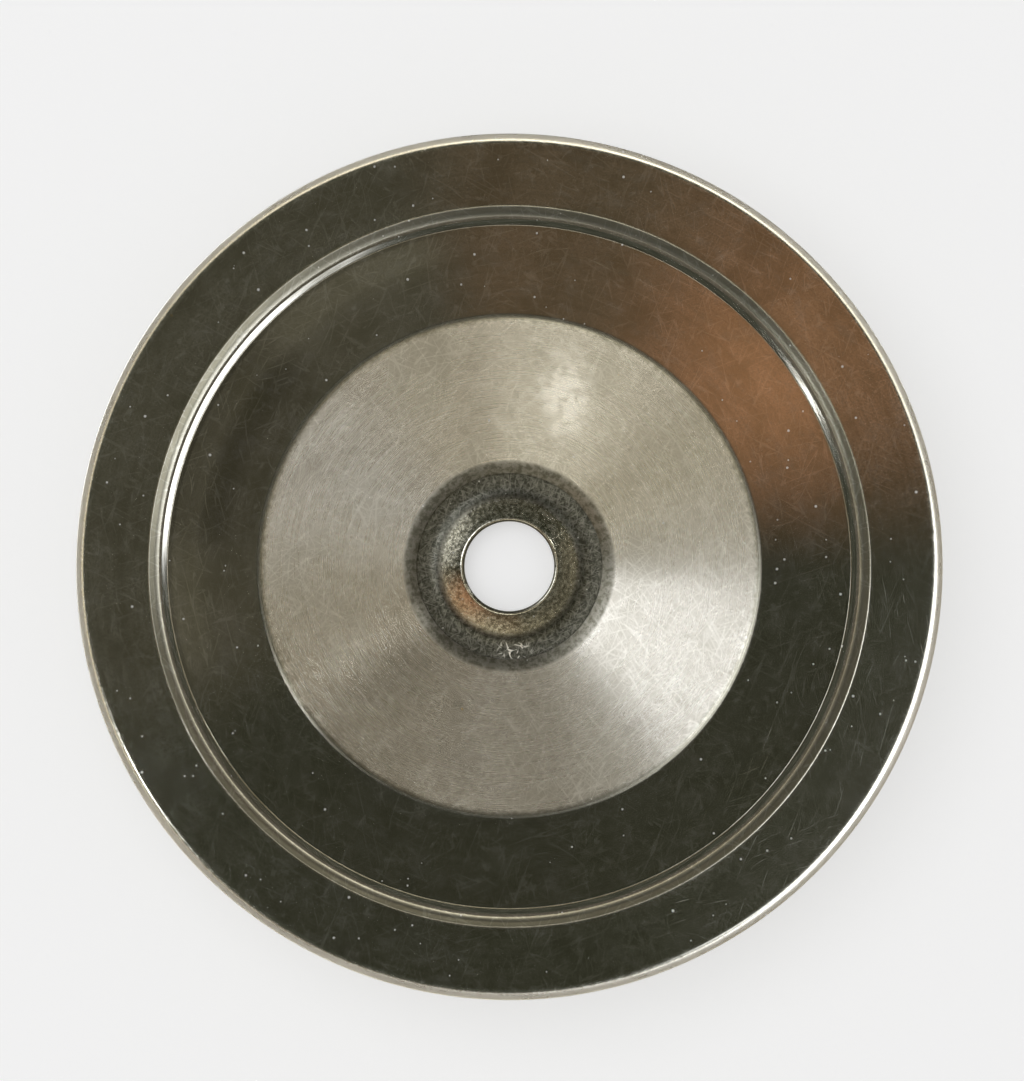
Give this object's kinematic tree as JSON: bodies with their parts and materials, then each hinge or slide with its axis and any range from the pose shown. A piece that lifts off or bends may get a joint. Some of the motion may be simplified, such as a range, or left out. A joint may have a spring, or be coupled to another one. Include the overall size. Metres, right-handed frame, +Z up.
{
  "type": "shaving bowl",
  "caption": "Shallow round shaving bowl of plated sheet metal: sloping flange with a turned-out lip, lapped pan, and a collar round a centre hole.",
  "frame": {"origin": "centre of the collar's flat foot, on the bowl's axis of revolution, at the lowest level of the bowl", "axes": "+Z up along the axis of revolution, out of the bowl's mouth; +X and +Y are free because every piece is a ring about Z"},
  "size_m": [0.15, 0.15, 0.0246],
  "materials": {
    "polished_plate": "nickel plate, buffed in circles on the floor and glossy on the wall, fine scratches",
    "dark_plate": "nickel plate, glossy and slightly tarnished, with a pale worn lip at the rim",
    "solder": "dull tin solder",
    "worn_collar": "dark grainy plate, pitted"
  },
  "bodies": {
    "root": {"pan": "polished_plate", "flange_ring": "dark_plate", "seam_solder": "solder", "collar": "worn_collar", "collar_solder": "solder"}
  },
  "joints": []
}
